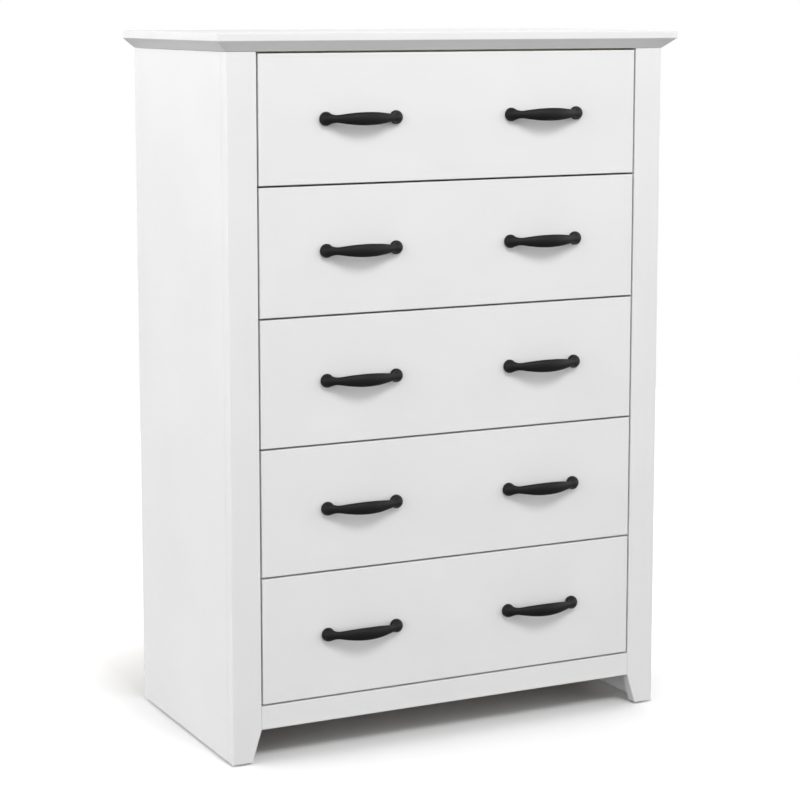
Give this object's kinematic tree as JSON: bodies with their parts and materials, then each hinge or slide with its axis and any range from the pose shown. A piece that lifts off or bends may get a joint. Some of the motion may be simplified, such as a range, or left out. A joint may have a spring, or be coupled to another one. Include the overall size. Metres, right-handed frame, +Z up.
{
  "type": "tall chest of drawers",
  "caption": "Tall white chest of drawers with flush sliding drawers, black bow handles, a chamfered overhanging top and tapered feet.",
  "frame": {"origin": "on the floor, midway across the width, and midway between the front of the handles and the back edge", "axes": "+X to the right as seen from the front, +Y to the back, +Z up"},
  "size_m": [0.8, 0.428, 1.123],
  "materials": {
    "white_lacquer": "smooth satin white lacquer on fibreboard",
    "hardboard": "thin hardboard, painted white on its smooth face",
    "pale_wood": "planed poplar, clear sealed",
    "beech": "planed beech, waxed",
    "black_handle": "matt black powder coat on die-cast zinc",
    "white_plastic": "extruded white plastic",
    "grey_plastic": "moulded grey plastic",
    "zinc_steel": "zinc-plated steel screws and nails"
  },
  "bodies": {
    "cabinet": {"top_panel": "white_lacquer", "side_panel_left": "white_lacquer", "side_panel_right": "white_lacquer", "front_stile_left": "white_lacquer", "front_stile_right": "white_lacquer", "bottom_rail": "white_lacquer", "top_front_rail": "pale_wood", "bottom_rear_rail": "pale_wood", "back_panel_lower": "hardboard", "back_panel_upper": "hardboard", "back_panel_joiner": "white_plastic", "glide_front_left": "grey_plastic", "glide_front_right": "grey_plastic", "glide_rear_left": "grey_plastic", "glide_rear_right": "grey_plastic", "runner_1_left": "beech", "runner_1_right": "beech", "runner_2_left": "beech", "runner_2_right": "beech", "runner_3_left": "beech", "runner_3_right": "beech", "runner_4_left": "beech", "runner_4_right": "beech", "runner_5_left": "beech", "runner_5_right": "beech"},
    "drawer_1": {"drawer_1_front": "white_lacquer", "drawer_1_side_left": "pale_wood", "drawer_1_side_right": "pale_wood", "drawer_1_back": "pale_wood", "drawer_1_bottom": "hardboard", "drawer_1_handle_left": "black_handle", "drawer_1_handle_right": "black_handle"},
    "drawer_2": {"drawer_2_front": "white_lacquer", "drawer_2_side_left": "pale_wood", "drawer_2_side_right": "pale_wood", "drawer_2_back": "pale_wood", "drawer_2_bottom": "hardboard", "drawer_2_handle_left": "black_handle", "drawer_2_handle_right": "black_handle"},
    "drawer_3": {"drawer_3_front": "white_lacquer", "drawer_3_side_left": "pale_wood", "drawer_3_side_right": "pale_wood", "drawer_3_back": "pale_wood", "drawer_3_bottom": "hardboard", "drawer_3_handle_left": "black_handle", "drawer_3_handle_right": "black_handle"},
    "drawer_4": {"drawer_4_front": "white_lacquer", "drawer_4_side_left": "pale_wood", "drawer_4_side_right": "pale_wood", "drawer_4_back": "pale_wood", "drawer_4_bottom": "hardboard", "drawer_4_handle_left": "black_handle", "drawer_4_handle_right": "black_handle"},
    "drawer_5": {"drawer_5_front": "white_lacquer", "drawer_5_side_left": "pale_wood", "drawer_5_side_right": "pale_wood", "drawer_5_back": "pale_wood", "drawer_5_bottom": "hardboard", "drawer_5_handle_left": "black_handle", "drawer_5_handle_right": "black_handle"}
  },
  "joints": [
    {"name": "drawer_1_slide", "type": "slide", "parent": "cabinet", "child": "drawer_1", "axis": [0, -1, 0], "range_m": [0, 0.27]},
    {"name": "drawer_2_slide", "type": "slide", "parent": "cabinet", "child": "drawer_2", "axis": [0, -1, 0], "range_m": [0, 0.27]},
    {"name": "drawer_3_slide", "type": "slide", "parent": "cabinet", "child": "drawer_3", "axis": [0, -1, 0], "range_m": [0, 0.27]},
    {"name": "drawer_4_slide", "type": "slide", "parent": "cabinet", "child": "drawer_4", "axis": [0, -1, 0], "range_m": [0, 0.27]},
    {"name": "drawer_5_slide", "type": "slide", "parent": "cabinet", "child": "drawer_5", "axis": [0, -1, 0], "range_m": [0, 0.27]}
  ]
}
